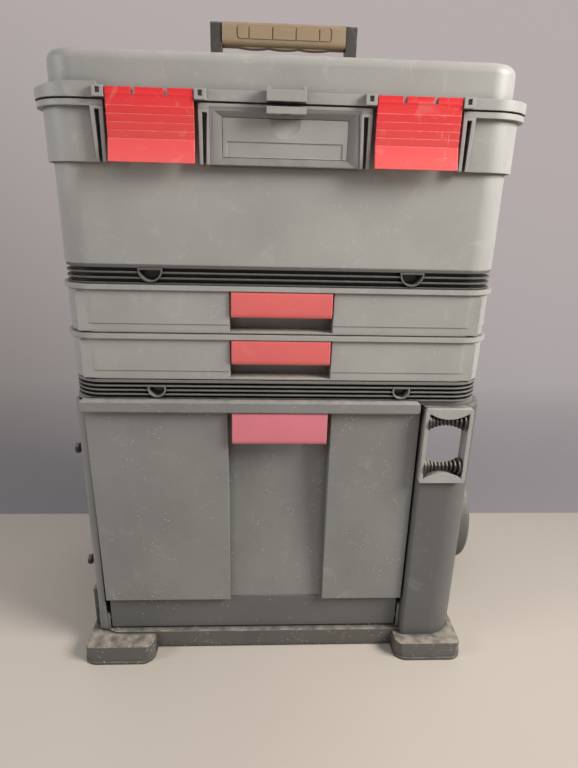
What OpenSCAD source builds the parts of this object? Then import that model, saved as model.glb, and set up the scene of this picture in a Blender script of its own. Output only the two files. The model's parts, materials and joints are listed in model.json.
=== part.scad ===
// Portable tool box with drawers: a lidded tool box on a two-drawer unit on a wheeled base
// unit with a tilting bin, a cord post with two guide rollers and a telescopic pull handle.
// X is to the right, Y runs from the front to the back and Z is up.
// The modules draw with X = 0 on the centre line of the boxes, Y = 0 on their front face and
// Z = 0 on the floor. placed() then moves the whole to the middle of its own footprint.

/* [Boxes] */
// Width of the box walls
body_w = 534; // [480:1:600]
// Depth of the box walls
body_d = 262; // [240:1:300]
// Thickness of the moulded walls
wall = 3.5; // [3:0.5:4]
// Radius of the upright corners
corner_r = 40; // [30:1:46]

/* [Base unit] */
// Height of the plinth
plinth_h = 30; // [28:1:36]
// Height of the base unit above the plinth
base_unit_h = 373; // [345:1:405]
// How far the front feet stand out from the front face
foot_reach = 30; // [24:1:36]
// Width of a front foot
foot_w = 100; // [80:1:110]
// Height of a front foot
foot_h = 27; // [22:1:27]

/* [Tilting bin] */
// Height of the set-back strip under the bin's front
kick_h = 55; // [45:1:65]
// How far the strip is set back
kick_setback = 8; // [5:1:10]
// Width of the scoop in the bin's front
scoop_w = 136; // [120:1:150]
// Depth of the scoop at its top
scoop_top_d = 26; // [18:1:32]
// Depth of the scoop at its foot
scoop_foot_d = 9; // [6:1:14]
// Height of the lip along the bin's top
lip_h = 17; // [14:1:24]

/* [Cord post] */
// Width of the post
post_w = 82; // [76:1:88]
// Depth of the post
post_d = 56; // [52:1:70]
// Radius of the post's outer front corner
post_corner_r = 40; // [20:1:44]
// Height of the roller frame
roller_frame_h = 107; // [98:1:120]
// Largest radius of a guide roller
roller_r = 13; // [11:0.5:14]
// Radius of a guide roller's waist
roller_waist_r = 5; // [4.5:0.5:8]

/* [Drawer unit] */
// Height of the ribbed band under the drawers
low_band_h = 26; // [24:1:34]
// Height of one drawer
drawer_h = 60; // [56:0.5:80]
// Height of the ribbed band over the drawers
top_band_h = 23; // [20:1:30]
// Width of a drawer's pull
pull_w = 124; // [100:1:150]
// Height of a drawer's pull
pull_h = 32; // [24:1:34]

/* [Tool box] */
// Height of the tool box's body
box_h = 174; // [150:1:220]
// Height of the skirt below the rim
skirt_h = 58; // [50:1:70]
// Height of the lid
lid_h = 51; // [46:1:56]
// How far the lid's rim stands out from the walls at the front and sides
rim_out = 13; // [10:1:15]
// Width of a latch
latch_w = 92; // [80:1:96]
// Distance of a latch's middle from the centre line
latch_x = 144; // [142:0.5:150]
// Width of the raised frame for the bare front plate
frame_w = 168; // [150:1:168]

/* [Wheels and pull handle] */
// Radius of the wheels
wheel_r = 88; // [80:1:96]
// Width of the wheels
wheel_w = 34; // [30:1:40]
// Radius of the steel axle
axle_r = 6; // [5:0.5:7]
// Height of the handle's top above the lid
handle_rise = 114; // [100:1:130]
// Distance of the handle tubes behind the boxes
tube_standoff = 77; // [72:1:84]
// Distance between the two handle tubes
tube_gap = 214; // [200:1:240]
// Offset of the pull handle from the centre line
handle_x = 6; // [0:1:8]
// Radius of the sliding tubes
tube_r = 9; // [8:0.5:10]

/* [Clearances] */
// Radial clearance of a pin in its bore
pin_gap = 0.05; // [0.02:0.01:0.1]
// Clearance of a sliding or seated piece
slide_gap = 0.3; // [0.3:0.05:0.5]

/* [Hidden] */
$fn = 48;

// Colours
light_grey = [0.56, 0.56, 0.53];
mid_grey = [0.42, 0.43, 0.43];
dark_grey = [0.30, 0.30, 0.30];
band_grey = [0.34, 0.34, 0.34];
red = [0.85, 0.16, 0.20];
pull_red = [0.80, 0.33, 0.35];
steel = [0.70, 0.70, 0.72];
olive = [0.50, 0.44, 0.34];
black = [0.12, 0.12, 0.12];

// Levels above the floor
lower_top = plinth_h + base_unit_h;
drawers_z = lower_top + low_band_h;
top_band_z = drawers_z + 2 * drawer_h;
box_z = top_band_z + top_band_h;
rim_z = box_z + box_h;
lid_top = rim_z + lid_h;

// Sides and back of the boxes
side_x = body_w / 2;
eps = 0.01;
big = 1000;

// Plinth and feet
plinth_inset = 5;
plinth_x = side_x - plinth_inset;
plinth_clear = 3;
foot_x = side_x + 12;
foot_lean = 3;
foot_lip = 1.5;
foot_lip_h = 4;
foot_back = 60;
foot_corner = 18;
tray_wall = 4;
guard_y = 20;
guard_w = 24;
guard_h = 62;

// Base unit casing
deck_t = 6;
deck_z = lower_top - deck_t;
casing_front = 6;
casing_r = 14;
casing_t = 4;
casing_x = side_x - 1;
return_w = 14;
peg_low = plinth_h + 101;
peg_high = plinth_h + 285;
peg_y = 40;
peg_r = 4;
peg_len = 15;
peg_head_r = 7.5;
peg_head_t = 6;

// Cord post and roller frame
post_x = side_x + 4 - post_w;
post_front = -8;
post_small_r = 5;
inner_wall_x = post_x - 0.5 - wall;
frame_plate_t = 14;
frame_bar = 5;
collar_in = 2;
collar_back = 8;
frame_margin = 19;
frame_plate_w = post_w - frame_margin;
frame_x = post_x + 0.5;
frame_top = deck_z - 0.5;
frame_mid_x = frame_x + frame_plate_w / 2;
roller_y = -5;
roller_len = frame_plate_w - 2 * frame_bar - 1;
roller_inset = 20.5;
upper_roller_z = frame_top - roller_inset;
lower_roller_z = frame_top - roller_frame_h + roller_inset + 1;
roller_pin_r = 2;

// Bin and its pivot
bin_side_gap = 21.5;
bin_left = side_x - bin_side_gap;
bin_right = inner_wall_x - 2.5;
bin_flange = 3.5;
bin_z = plinth_h + 3;
bin_top = deck_z - 5;
bin_pivot = [16, bin_z + 12];
bin_swing_r = deck_z - bin_pivot[1] - 3;
bin_pin_r = 4;
kick_top = bin_z + kick_h;
lip_out = 10;
lip_top = lower_top + 1;
lip_gap = 0.7;
lip_z = lip_top - lip_h;
lip_end_r = 6;
bin_pull_h = 44;
scoop_rise = 38;
wall_cut_y = 22;
wall_cut_z = bin_pivot[1] + 27;

// Axle and wheels
axle_y = body_d - 14;
left_wheel_x = -side_x - 1 - wheel_w;
right_wheel_gap = 49;
right_wheel_x = side_x + right_wheel_gap;
axle_z = wheel_r;
hub_r = wheel_r * 0.74;
tyre_edge_r = 8;
beam_front = axle_y - 12;
beam_back = body_d - casing_t - 0.4;
beam_top = axle_z + 17;
bin_d = beam_front - 10;

// Pull handle
tube_y = body_d + tube_standoff;
outer_tube_r = tube_r + 3;
outer_tube_bore = tube_r + 1.2;
outer_tube_low = 60;
outer_tube_drop = 146;
outer_tube_top = rim_z - outer_tube_drop;
clamp_h = 25;
clamp_z = [70, deck_z - clamp_h - 2];
clamp_w = 38;
clamp_back = tube_y + 14;
clamp_flange_w = 66;
screw_r = 2;
screw_len = 9.5;
collar_h = 18;
collar_cap = 6;
handle_top = lid_top + handle_rise;
grip_h = 36;
grip_d = 28;
grip_bar_r = 7;
end_h = 54;
end_w = 18;
bulge_w = 48;
bulge_h = 2;
grip_panel = 75;
grip_groove = 37;
spigot_r = 6;
spigot_h = 12;
left_tube_x = handle_x - tube_gap / 2;
right_tube_x = handle_x + tube_gap / 2;

// Drawer unit
band_x = side_x - 5;
band_r = corner_r - 4;
rib_out = 3;
rib_in = 4;
rib_h = 2;
rib_pitch = 6;
shell_front = 46;
top_socket_r = 12.5;
low_socket_r = 9.5;
low_socket_rise = 3;
socket_wall = 2;
socket_d = 12;
socket_x = 157;
front_wrap = 44;
drawer_x = side_x - 1;
tub_x = side_x - 19;
drawer_back = body_d - 24;
drawer_rim_h = 6;
drawer_rim_out = 3.5;
drawer_step = 0.8;
drawer_step_h = 12;
pocket_d = 26;
pocket_x = pull_w / 2 + 2;
runner_z = 24;
runner_h = 18;
rail_h = 6;

// Tool box
skirt_out = 6;
body_rim_h = 5;
skirt_top = rim_z - body_rim_h;
skirt_z = skirt_top - skirt_h;
back_rim = 4;
latch_gap = 1;
lug_w = 12;
lug_slot = 4.6;
channel_half = latch_w / 2 + 4;
leg_t = 4.2;
leg_slot = 5.4;
latch_pin = [-rim_out, rim_z + 4];
latch_pin_r = 2;
latch_pin_half = latch_w / 2 + latch_gap + lug_w - 1;
latch_top = rim_z + 10;
latch_steps_top = rim_z - 7;
latch_step = 8;
latch_steps = 4;
notch_x = 17;
notch_w = 4;
seam = 2;
seam_d = 6;
frame_front = 12;
frame_side = 7;
frame_bevel = 8;
frame_seat = 4;
plate_front = 8;
plate_z = [skirt_z + 8, skirt_top - 9.5];
notch_r = 17.5;
notch_d = 2.5;
lid_rim_h = 11;
lid_edge_r = 12;
lid_inset = 3;
lid_t = 3;
hasp_w = 42;
hasp_out = 13;
hasp_hole_r = 4.2;
hinge_pin = [body_d + back_rim + 6, rim_z + 2.5];
hinge_r = 5;
hinge_pin_r = 2.5;
hinge_x = 150;
knuckle_w = 20;
knuckle_gap = 0.5;

// Carry handle in the lid
carry_pocket_w = 150;
carry_pocket_d = 66;
carry_pocket_h = 28;
carry_mid_y = body_d / 2 + 6;
carry_pin = [carry_mid_y + 24, lid_top - 10];
carry_pin_r = 3;
carry_reach = 40;
carry_bar = 16;
carry_arm = 12;

// Footprint of the whole object
low_x = left_wheel_x;
high_x = right_wheel_x + wheel_w;
low_y = -foot_reach - foot_lip;
high_y = max(axle_y + wheel_r, clamp_back, tube_y + grip_d / 2);
mid_x = (low_x + high_x) / 2;
mid_y = (low_y + high_y) / 2;

// ---- Shared shapes ----

module placed() {
    translate([-mid_x, -mid_y, 0]) children();
}

// A box between two corners, each given as a range
module block(x, y, z) {
    translate([x[0], y[0], z[0]]) cube([x[1] - x[0], y[1] - y[0], z[1] - z[0]]);
}

// A rounded rectangle between two corners
module plan(x, y, r) {
    translate([x[0] + r, y[0]]) square([x[1] - x[0] - 2 * r, y[1] - y[0]]);
    translate([x[0], y[0] + r]) square([x[1] - x[0], y[1] - y[0] - 2 * r]);
    for (cx = [x[0] + r, x[1] - r], cy = [y[0] + r, y[1] - r]) translate([cx, cy]) circle(r);
}

module slab(x, y, z, r) {
    translate([0, 0, z[0]]) linear_extrude(z[1] - z[0]) plan(x, y, r);
}

// A ring of wall between a rounded rectangle and the same one drawn in by t
module ring(x, y, z, r, t) {
    translate([0, 0, z[0]]) linear_extrude(z[1] - z[0]) difference() {
        plan(x, y, r);
        plan([x[0] + t, x[1] - t], [y[0] + t, y[1] - t], r - t);
    }
}

// A cylinder along X between two places, at a point given as [y, z]
module rod(x, at, r) {
    translate([x[0], at[0], at[1]]) rotate([0, 90, 0]) cylinder(h = x[1] - x[0], r = r);
}

// A shape drawn in Y and Z, made solid along X
module along_x(x) {
    translate([x[0], 0, 0]) rotate([90, 0, 90]) linear_extrude(x[1] - x[0]) children();
}

// A shape drawn in X and Z, made solid along Y
module along_y(y) {
    translate([0, y[1], 0]) rotate([90, 0, 0]) linear_extrude(y[1] - y[0]) children();
}

// A rectangle with its two upper corners rounded
module arch(w, h, r) {
    translate([-w / 2, 0]) square([w, h - r]);
    translate([-w / 2 + r, 0]) square([w - 2 * r, h]);
    for (s = [-1, 1]) translate([s * (w / 2 - r), h - r]) circle(r);
}

// A box with round upright corners and a softly rounded top edge
module soft_box(w, d, h, corner, edge) {
    translate([0, d - corner, 0]) rotate([90, 0, 0]) linear_extrude(d - 2 * corner) arch(w, h, edge);
    translate([-w / 2 + corner, d / 2, 0]) rotate([90, 0, 90])
        linear_extrude(w - 2 * corner) arch(d, h, edge);
    for (x = [-w / 2 + corner, w / 2 - corner], y = [corner, d - corner])
        translate([x, y, 0]) rotate_extrude() {
            square([corner, h - edge]);
            square([corner - edge, h]);
            translate([corner - edge, h - edge]) circle(edge);
        }
}

// ---- Base unit ----

// One front foot: a low block with leaning outer faces and a lip along the floor
module foot(s) {
    x = s > 0 ? [foot_x - foot_w, foot_x] : [-foot_x, -foot_x + foot_w];
    y = [-foot_reach, foot_back];
    lean = s > 0 ? [0, foot_lean] : [foot_lean, 0];
    intersection() {
        slab(x, y, [0, foot_h], foot_corner);
        along_x(x) polygon([[y[0], 0], [y[1], 0], [y[1], foot_h], [y[0] + foot_lean, foot_h]]);
        along_y(y) polygon([[x[0], 0], [x[1], 0], [x[1] - lean[1], foot_h], [x[0] + lean[0], foot_h]]);
    }
    slab([x[0] - foot_lip, x[1] + foot_lip], [y[0] - foot_lip, y[1] + foot_lip], [0, foot_lip_h],
         foot_corner + foot_lip);
}

module base_tray() {
    color(dark_grey) placed() difference() {
        union() {
            slab([-plinth_x, plinth_x], [0, body_d], [plinth_clear, plinth_h], 30);
            for (s = [-1, 1]) foot(s);
            block([-side_x - 5, -side_x - 0.5], [guard_y, guard_y + guard_w],
                  [foot_h - 1, plinth_h + guard_h]);
        }
        // the underside is hollow behind and between the feet, and the post stands in a well
        slab([-plinth_x + tray_wall, plinth_x - tray_wall], [foot_back, body_d - tray_wall],
             [-eps, plinth_h - tray_wall], 20);
        block([-plinth_x + foot_w, plinth_x - foot_w], [tray_wall, foot_back + 30],
              [-eps, plinth_h - tray_wall]);
        block([post_x - slide_gap, big], [post_front - 1, post_d + slide_gap], [foot_h, plinth_h + 1]);
    }
}

module lower_housing() {
    color(mid_grey) placed() difference() {
        union() {
            slab([-side_x, side_x], [2, body_d], [deck_z, lower_top], corner_r - 2);
            translate([0, 0, plinth_h]) linear_extrude(deck_z - plinth_h) casing_outline();
            block([-casing_x + casing_t - 1, -bin_left - 2.5], [casing_front + 2, casing_front + 20],
                  [plinth_h, bin_pivot[1] + 12]);
        }
        block([inner_wall_x - 1, inner_wall_x + wall + 1], [casing_front - 1, wall_cut_y],
              [wall_cut_z, deck_z]);
        rod([-big / 2, -side_x + 20], [axle_y, axle_z], axle_r + 1);
        block([inner_wall_x - 1, inner_wall_x + wall + 1], [beam_front - 1, body_d - casing_t + eps],
              [plinth_h - 1, beam_top + 1]);
        rod([-casing_x - 1, -bin_left], bin_pivot, bin_pin_r + pin_gap);
        rod([inner_wall_x - 1, inner_wall_x + wall + 1], bin_pivot, bin_pin_r + pin_gap);
        for (at = screw_places()) screw_hole(at, [body_d - casing_t - 1, body_d + 1]);
    }
}

// Plan of the left wall, the back wall and the wall between the bin and the cord bay
module casing_outline() {
    outer_right = inner_wall_x + wall;
    difference() {
        union() {
            plan([-casing_x, outer_right], [casing_front, body_d], casing_r);
            translate([outer_right - 20, casing_front]) square([20, body_d - casing_front]);
        }
        plan([-casing_x + casing_t, inner_wall_x], [casing_front + casing_t, body_d - casing_t],
             casing_r - casing_t);
        translate([-casing_x + return_w, -1]) square([inner_wall_x + casing_x - return_w, 60]);
        translate([inner_wall_x - 20, 20]) square([20, body_d - casing_t - 20]);
    }
}

// Plan of the post drawn in by t, with a tight inner corner and a wide outer one
module post_plan(t, back) {
    x = [post_x + t, post_x + post_w - t];
    y = post_front + t;
    r = [post_small_r - t, post_corner_r - t];
    translate([x[0] + r[0], y]) square([x[1] - x[0] - r[0] - r[1], back - y]);
    translate([x[0], y + r[0]]) square([x[1] - x[0] - r[1], back - y - r[0]]);
    translate([x[0] + r[0], y + r[1]]) square([x[1] - x[0] - r[0], back - y - r[1]]);
    translate([x[0] + r[0], y + r[0]]) circle(r[0]);
    intersection() {
        translate([x[1] - r[1], y + r[1]]) circle(r[1]);
        translate([x[0], y]) square([x[1] - x[0], back - y]);
    }
}

module tool_post() {
    color(dark_grey) placed() difference() {
        translate([0, 0, foot_h]) difference() {
            linear_extrude(deck_z - foot_h) post_plan(0, post_d);
            translate([0, 0, -1]) linear_extrude(deck_z - wall - foot_h + 1) post_plan(wall, post_d + 1);
        }
        block(window_x(slide_gap), [post_front - 1, post_corner_r - wall], window_z(slide_gap));
    }
}

// Radius of a roller at a distance from its middle
function roller_profile(x) = roller_waist_r + (roller_r - roller_waist_r) * pow(2 * x / roller_len, 2);

// Radius of the arc that follows a roller's waist
shield_gap = 1.5;
shield_half = roller_len * 0.4;
shield_sag = roller_profile(shield_half) - roller_waist_r;
shield_r = (shield_half * shield_half + shield_sag * shield_sag) / (2 * shield_sag);

// The frame that carries the rollers: a flange that follows the post's round corner, and a
// collar that reaches back through the post's window
module roller_frame() {
    x = [frame_x, frame_x + frame_plate_w];
    z = [frame_top - roller_frame_h, frame_top];
    opening_x = [x[0] + frame_bar, x[1] - frame_bar];
    opening_z = [z[0] + frame_bar + 1, z[1] - frame_bar - 1];
    color(light_grey) placed() difference() {
        union() {
            difference() {
                along_y([-frame_plate_t, post_corner_r]) plan(x, z, 3);
                translate([0, 0, z[0] - 1]) linear_extrude(roller_frame_h + 2) post_plan(0, post_d);
            }
            block(window_x(0), [1 - frame_plate_t, collar_back], window_z(0));
        }
        difference() {
            block(opening_x, [-frame_plate_t - 1, post_corner_r + 1], opening_z);
            rod_y(upper_roller_z + roller_waist_r + shield_gap + shield_r);
            rod_y(lower_roller_z - roller_waist_r - shield_gap - shield_r);
        }
        for (rz = [upper_roller_z, lower_roller_z])
            rod(window_x(-0.5), [roller_y, rz], roller_pin_r + pin_gap);
    }
}

// Width and height of the frame's collar, wider by t on each side
function window_x(t) = [frame_x + collar_in - t, frame_x + frame_plate_w - collar_in + t];
function window_z(t) = [frame_top - roller_frame_h + collar_in - t, frame_top - collar_in + t];

// One of the two rounded shields beside the rollers' waists
module rod_y(z) {
    translate([frame_mid_x, post_corner_r + 1, z]) rotate([90, 0, 0])
        cylinder(h = frame_plate_t + post_corner_r + 2, r = shield_r);
}

module roller_pins() {
    color(steel) placed() for (z = [upper_roller_z, lower_roller_z])
        rod(window_x(-0.5), [roller_y, z], roller_pin_r);
}

// A ribbed roller with a narrow waist, bored for its pin
module roller(z) {
    steps = 10;
    step = roller_len / steps;
    color(black) placed() translate([frame_mid_x - roller_len / 2, roller_y, z]) rotate([0, 90, 0])
        difference() {
            union() for (i = [0 : steps - 1]) {
                r = roller_profile((i + 0.5) * step - roller_len / 2);
                translate([0, 0, i * step]) cylinder(h = step * 0.4, r = r);
                translate([0, 0, i * step]) cylinder(h = step, r = max(r - 3, roller_pin_r + 1.5));
            }
            translate([0, 0, -1]) cylinder(h = roller_len + 2, r = roller_pin_r + pin_gap);
        }
}

module upper_roller() roller(upper_roller_z);

module lower_roller() roller(lower_roller_z);

// Two mushroom pegs on the left wall
module cord_pegs() {
    x = -casing_x - peg_len;
    color(black) placed() for (z = [peg_low, peg_high]) {
        rod([x + peg_head_t - 1, -casing_x - 0.2], [peg_y, z], peg_r);
        rod([x, x + peg_head_t], [peg_y, z], peg_head_r);
    }
}

// ---- Tilting bin ----

module bin_tub() {
    x = [-bin_left, bin_right];
    y = [0, bin_d];
    inner_x = [x[0] + wall, x[1] - wall];
    color(mid_grey) placed() difference() {
        union() {
            difference() {
                intersection() {
                    block(x, y, [bin_z, bin_top]);
                    rod([x[0], x[1]], bin_pivot, bin_swing_r);
                }
                block(inner_x, [kick_setback + wall, y[1] - wall], [bin_z + wall, kick_top + wall]);
                block(inner_x, [wall, y[1] - wall], [kick_top, big]);
            }
            bin_front();
            bin_lip();
            scoop_shape(scoop_w / 2 + wall, wall);
            for (px = [x[0] + wall - eps, x[1] - wall - 8 + eps])
                rod([px, px + 8], bin_pivot, bin_pin_r + 5);
        }
        block([x[0] - 1, x[1] + 1], [-1, kick_setback], [bin_z - 1, kick_top]);
        scoop_shape(scoop_w / 2, 0);
        rod([x[0] - 1, x[0] + wall + 8], bin_pivot, bin_pin_r + pin_gap);
        rod([x[1] - wall - 8, x[1] + 1], bin_pivot, bin_pin_r + pin_gap);
    }
}

// The bin's front panel, wider than the tub behind it and tapering at its left edge
module bin_front() {
    along_y([0, wall]) polygon([
        [-bin_left - bin_flange + 1, kick_top], [bin_right + bin_flange, kick_top],
        [bin_right + bin_flange, bin_top], [-bin_left - 2 * bin_flange + 1, bin_top]
    ]);
}

// The lip along the top of the bin's front, with rounded ends, in front of the deck's edge
module bin_lip() {
    x = [-bin_left - 9, bin_right];
    back = 2 - rib_out - lip_gap;
    under = deck_z - 0.5;
    intersection() {
        along_x(x) polygon([
            [0, lip_z], [0, under], [back, under], [back, lip_top], [-lip_out + 2, lip_top],
            [-lip_out, lip_top - 3], [-lip_out, lip_z + 2], [-lip_out + 2, lip_z]
        ]);
        along_y([-lip_out - 1, 1]) plan(x, [lip_z, lip_top], lip_end_r);
    }
    block([-bin_left, bin_right - 1], [0, wall], [bin_top - 1, under]);
}

// The wedge of the scoop, as wide as twice half and thicker by t
module scoop_shape(half, t) {
    along_x([-half, half]) polygon([
        [t > 0 ? 0 : -1, kick_top - (t > 0 ? 0 : 1)], [scoop_foot_d + t, kick_top - (t > 0 ? 0 : 1)],
        [scoop_top_d + t, lip_z - scoop_rise], [scoop_top_d + t, lip_z + t], [t > 0 ? 0 : -1, lip_z + t]
    ]);
}

module bin_pull() {
    z = [lip_z - bin_pull_h, lip_z - slide_gap];
    grip_pull([-pull_w / 2, pull_w / 2], z, -7, scoop_top_d - slide_gap);
}

// A bowed pull plate with a top web that runs back to its seat
module grip_pull(x, z, front, back) {
    t = 4;
    color(pull_red) placed() {
        along_x(x) polygon([
            [front, z[1]], [front - 1.5, z[1] - 4], [front - 1.5, z[0] + 6], [front, z[0] + 2],
            [front + 1, z[0]], [front + t, z[0]], [front + t, z[1] - t], [back, z[1] - t],
            [back, z[1]]
        ]);
    }
}

module bin_pivot_pins() {
    color(steel) placed() {
        rod([-casing_x + casing_t, -bin_left + wall + 6], bin_pivot, bin_pin_r);
        rod([bin_right - wall - 6, inner_wall_x + wall], bin_pivot, bin_pin_r);
    }
}

// ---- Wheels ----

module axle_beam() {
    x = [-casing_x + casing_r, right_wheel_x - 2];
    end = 20;
    rib = 6;
    cells = 3;
    cell = (x[1] - x[0] - 2 * end) / cells;
    color(dark_grey) placed() difference() {
        block(x, [beam_front, beam_back], [plinth_h, beam_top]);
        for (i = [0 : cells - 1])
            block([x[0] + end + i * cell + rib / 2, x[0] + end + (i + 1) * cell - rib / 2],
                  [beam_front - 1, beam_back - wall], [plinth_h + rib, axle_z - 14]);
        rod([x[0] - 1, x[1] + 1], [axle_y, axle_z], axle_r + pin_gap);
    }
}

module axle() {
    color(steel) placed() rod([left_wheel_x + 3, right_wheel_x + wheel_w - 3], [axle_y, axle_z], axle_r);
}

// Push-on caps at the ends of the axle, inside the hubs' recesses
module axle_caps() {
    color(steel) placed() for (x = [left_wheel_x + 1, right_wheel_x + wheel_w - 9])
        difference() {
            rod([x, x + 8], [axle_y, axle_z], axle_r + 5);
            rod([x < 0 ? x + 2 : x - 1, x < 0 ? x + 9 : x + 6], [axle_y, axle_z], axle_r + pin_gap);
        }
}

// Half section of a hub, with its outer face at the width's end
module hub_section() {
    translate([axle_r + 0.08, 2]) square([12, wheel_w - 12]);
    translate([axle_r + 4, 12]) square([hub_r - axle_r - 8, 8]);
    translate([hub_r - 8, 3]) square([8, wheel_w - 6]);
}

module hub(x, outward) {
    spokes = 6;
    spoke_t = 5;
    color(dark_grey) placed() translate([x, axle_y, axle_z]) rotate([0, outward * 90, 0]) {
        rotate_extrude() hub_section();
        for (i = [0 : spokes - 1]) rotate(i * 360 / spokes) translate([axle_r + 6, -spoke_t / 2, 19])
            cube([hub_r - axle_r - 10, spoke_t, 5]);
    }
}

module left_hub() hub(left_wheel_x + wheel_w, -1);

module right_hub() hub(right_wheel_x, 1);

module tyre(x) {
    color(black) placed() translate([x, axle_y, axle_z]) rotate([0, 90, 0]) rotate_extrude() {
        translate([hub_r + 0.1, 0]) square([wheel_r - hub_r - tyre_edge_r - 0.1, wheel_w]);
        translate([wheel_r - tyre_edge_r - 2, tyre_edge_r])
            square([tyre_edge_r + 2, wheel_w - 2 * tyre_edge_r]);
        for (y = [tyre_edge_r, wheel_w - tyre_edge_r])
            translate([wheel_r - tyre_edge_r, y]) circle(tyre_edge_r);
    }
}

module left_tyre() tyre(left_wheel_x);

module right_tyre() tyre(right_wheel_x);

// ---- Pull handle ----

function screw_places() = [
    for (tx = [left_tube_x, right_tube_x], z = clamp_z, s = [-1, 1])
        [tx + s * (clamp_flange_w / 2 - 7), z + clamp_h / 2]
];

// A hole along Y at a place given as [x, z]
module screw_hole(at, y) {
    translate([at[0], y[1], at[1]]) rotate([90, 0, 0]) cylinder(h = y[1] - y[0], r = screw_r + 0.1);
}

// Stand-off brackets that hold the outer tubes behind the casing
module tube_clamps() {
    color(dark_grey) placed() for (tx = [left_tube_x, right_tube_x], z = clamp_z) difference() {
        union() {
            block([tx - clamp_flange_w / 2, tx + clamp_flange_w / 2], [body_d, body_d + 6], [z, z + clamp_h]);
            block([tx - clamp_w / 2 + 6, tx + clamp_w / 2 - 6], [body_d, tube_y], [z, z + clamp_h]);
            translate([tx, tube_y, z]) cylinder(h = clamp_h, r = clamp_back - tube_y);
        }
        translate([tx, tube_y, z - 1]) cylinder(h = clamp_h + 2, r = outer_tube_r + pin_gap);
        block([tx - 8, tx + 8], [body_d + 10, tube_y - outer_tube_r - 6], [z - 1, z + clamp_h + 1]);
        for (at = screw_places()) screw_hole(at, [body_d - 1, body_d + 7]);
    }
}

module clamp_screws() {
    color(steel) placed() for (at = screw_places()) translate([at[0], body_d + 6, at[1]]) rotate([90, 0, 0]) {
        cylinder(h = screw_len, r = screw_r);
        translate([0, 0, -2.5]) cylinder(h = 2.5, r = 4.5);
    }
}

module outer_tubes() {
    color(steel) placed() for (tx = [left_tube_x, right_tube_x]) translate([tx, tube_y, outer_tube_low])
        difference() {
            cylinder(h = outer_tube_top - outer_tube_low, r = outer_tube_r);
            translate([0, 0, 3]) cylinder(h = big, r = outer_tube_bore);
        }
}

module tube_collars() {
    color(black) placed() for (tx = [left_tube_x, right_tube_x])
        translate([tx, tube_y, outer_tube_top - collar_h + collar_cap]) difference() {
            cylinder(h = collar_h, r = outer_tube_r + 3);
            translate([0, 0, -1]) cylinder(h = collar_h - collar_cap + 1, r = outer_tube_r + pin_gap);
            cylinder(h = collar_h + 1, r = tube_r + slide_gap + 0.05);
        }
}

module handle_tubes() {
    foot_z = outer_tube_low + 30;
    top_z = handle_top - end_h;
    color(dark_grey) placed() for (tx = [left_tube_x, right_tube_x]) translate([tx, tube_y, foot_z]) {
        cylinder(h = top_z - foot_z, r = tube_r);
        cylinder(h = top_z - foot_z + spigot_h, r = spigot_r);
        cylinder(h = 20, r = outer_tube_bore - 0.4);
    }
}

// Flat end plates that join the tubes to the grip
module handle_ends() {
    z = [handle_top - end_h, handle_top - 1];
    color(dark_grey) placed() for (tx = [left_tube_x, right_tube_x]) {
        difference() {
            along_x([tx - end_w / 2, tx + end_w / 2])
                plan([tube_y - grip_d / 2 + 2, tube_y + grip_d / 2 - 1], z, 5);
            translate([tx, tube_y, z[0] - 1]) cylinder(h = spigot_h + 1 + slide_gap, r = spigot_r + pin_gap);
            rod([tx - end_w, tx + end_w], [tube_y, handle_top - grip_h / 2], grip_bar_r + pin_gap);
        }
    }
}

module grip_bar() {
    x = [left_tube_x - end_w / 2 + 1, right_tube_x + end_w / 2 - 1];
    color(dark_grey) placed() rod(x, [tube_y, handle_top - grip_h / 2], grip_bar_r);
}

// Soft grip with three shallow finger swells below and an outline groove round its front
module grip_sleeve() {
    x = [left_tube_x + end_w / 2 + 0.5, right_tube_x - end_w / 2 - 0.5];
    z = [handle_top - grip_h, handle_top];
    bulge_r = (bulge_w * bulge_w / 4 + bulge_h * bulge_h) / (2 * bulge_h);
    front = tube_y - grip_d / 2;
    color(olive) placed() difference() {
        union() {
            along_x(x) plan([front, tube_y + grip_d / 2], [z[0] + bulge_h, z[1]], 9);
            for (i = [-1, 0, 1]) along_y([front + 7, front + grip_d - 7]) intersection() {
                translate([handle_x + i * bulge_w, z[0] + bulge_r]) circle(bulge_r, $fn = 180);
                translate([handle_x + (i - 0.5) * bulge_w, z[0]]) square([bulge_w, bulge_h + 6]);
            }
        }
        rod([x[0] - 1, x[1] + 1], [tube_y, handle_top - grip_h / 2], grip_bar_r + pin_gap);
        along_y([front - 1, front + 1]) difference() {
            plan([handle_x - grip_panel, handle_x + grip_panel], [z[0] + 10, z[1] - 5], 6);
            plan([handle_x - grip_panel + 2, handle_x + grip_panel - 2], [z[0] + 12, z[1] - 7], 4);
        }
        for (i = [-1.5, -0.5, 0.5, 1.5]) {
            groove = handle_x + i * grip_groove;
            block([groove - 1, groove + 1], [front - 1, front + 1], [z[0] + 12, z[1] - 7]);
        }
    }
}

// ---- Drawer unit ----

// A disc with its top cut off at rise above its middle
module cut_disc(r, rise) {
    intersection() {
        circle(r);
        translate([-r, -r]) square([2 * r, r + rise]);
    }
}

// The cups of the two sockets in a band, around z
module sockets(z, r, rise, y) {
    for (s = [-1, 1]) along_y(y) translate([s * socket_x, z]) cut_disc(r, rise);
}

// A slab over the plan of the drawer unit, wider by t all round
module band_slab(t, z) {
    slab([-band_x - t, band_x + t], [2 - t, body_d + t], z, band_r + t);
}

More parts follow.
